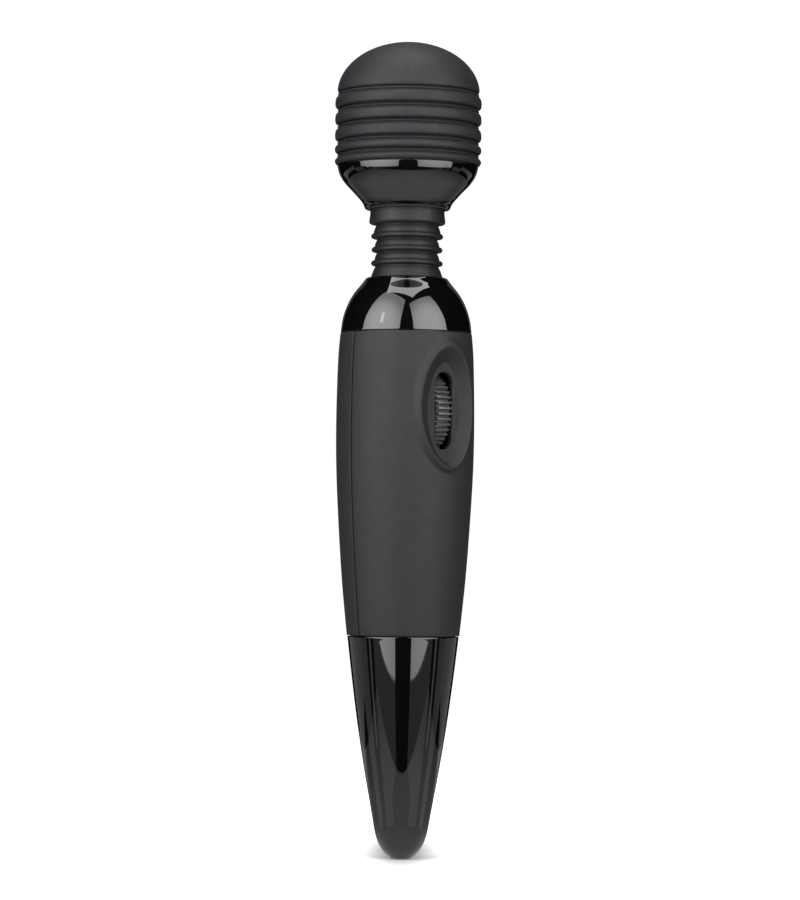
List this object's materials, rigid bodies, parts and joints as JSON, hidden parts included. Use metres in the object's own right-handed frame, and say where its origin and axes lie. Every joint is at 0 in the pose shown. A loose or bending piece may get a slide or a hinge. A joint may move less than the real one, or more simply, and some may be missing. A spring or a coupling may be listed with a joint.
{
  "type": "handheld wand massager",
  "caption": "Cordless wand massager with a ribbed silicone head on a flexible bellows neck, a soft-touch handle with a recessed thumb wheel, and a tapered glossy tail.",
  "frame": {"origin": "centre of the small flat face at the end of the tail, the lowest point with the wand upright", "axes": "+Z along the handle from the tail to the head, -Y towards the side with the thumb wheel, +X to the right of the wheel"},
  "size_m": [0.0566, 0.0566, 0.314],
  "materials": {
    "gloss_black": "polished",
    "soft_touch": "soft-touch coating",
    "silicone": "fine matte silicone",
    "neck_rubber": "matte",
    "wheel_plastic": "satin, knurled",
    "inner_plastic": "moulded",
    "steel": "satin",
    "brass": "turned",
    "copper": "enamelled copper",
    "ferrite": "matte ferrite",
    "board_laminate": "solder mask",
    "component_black": "moulded",
    "cell_wrap": "shrink-wrapped",
    "lead_red": "insulation",
    "lead_black": "insulation"
  },
  "bodies": {
    "handle": {"tail_cap": "gloss_black", "front_shell": "soft_touch", "rear_shell": "soft_touch", "shoulder_ring": "gloss_black", "wheel_bracket": "inner_plastic", "potentiometer": "inner_plastic", "circuit_board": "board_laminate", "board_screw_1": "steel", "board_screw_2": "steel", "capacitor": "component_black", "power_transistor": "component_black", "inductor": "copper", "charge_controller": "component_black", "charge_connector": "inner_plastic", "motor_connector": "inner_plastic", "battery_holder": "inner_plastic", "cell_link": "steel", "battery_cell_1": "cell_wrap", "battery_cell_2": "cell_wrap", "battery_lead_red": "lead_red", "battery_lead_black": "lead_black", "jack_lead_red": "lead_red", "jack_lead_black": "lead_black", "motor_feed_red": "lead_red", "motor_feed_black": "lead_black", "charging_jack": "inner_plastic", "jack_nut": "steel", "jack_pin": "brass", "neck_lower_flange": "inner_plastic", "neck_lower_screw_1": "steel", "neck_lower_screw_2": "steel", "lead_coupler": "inner_plastic"},
    "wheel": {"speed_wheel": "wheel_plastic", "wheel_shaft": "steel"},
    "neck": {"neck_bellows": "neck_rubber", "neck_spring": "steel", "neck_lead_red": "lead_red", "neck_lead_black": "lead_black"},
    "head": {"silicone_cap": "silicone", "head_dome": "inner_plastic", "head_collar": "gloss_black", "neck_upper_flange": "inner_plastic", "neck_upper_screw_1": "steel", "neck_upper_screw_2": "steel", "motor_cradle": "inner_plastic", "cradle_screw_1": "steel", "cradle_screw_2": "steel", "motor_isolator": "neck_rubber", "motor_can": "steel", "motor_end_cap": "inner_plastic", "shaft_bush": "brass", "motor_magnet_1": "ferrite", "motor_magnet_2": "ferrite"},
    "rotor": {"motor_shaft": "steel", "commutator": "copper", "armature": "copper", "eccentric_weight": "brass", "weight_set_screw": "steel"}
  },
  "joints": [
    {"name": "wheel_turn", "type": "hinge", "parent": "handle", "child": "wheel", "pos_m": [0, -0.0079, 0.1712], "axis": [1, 0, 0], "range_deg": [0, 270]},
    {"name": "neck_pitch", "type": "hinge", "parent": "handle", "child": "neck", "pos_m": [0, 0, 0.23], "axis": [1, 0, 0], "range_deg": [-15, 15], "stiffness_Nm_per_rad": 2.5, "deforming": ["neck_bellows", "neck_spring", "neck_lead_red", "neck_lead_black"]},
    {"name": "neck_roll", "type": "hinge", "parent": "neck", "child": "head", "pos_m": [0, 0, 0.243], "axis": [0, 1, 0], "range_deg": [-15, 15], "stiffness_Nm_per_rad": 2.5},
    {"name": "motor_spin", "type": "hinge", "parent": "head", "child": "rotor", "pos_m": [0, 0, 0.278], "axis": [0, 0, 1], "continuous": true}
  ]
}
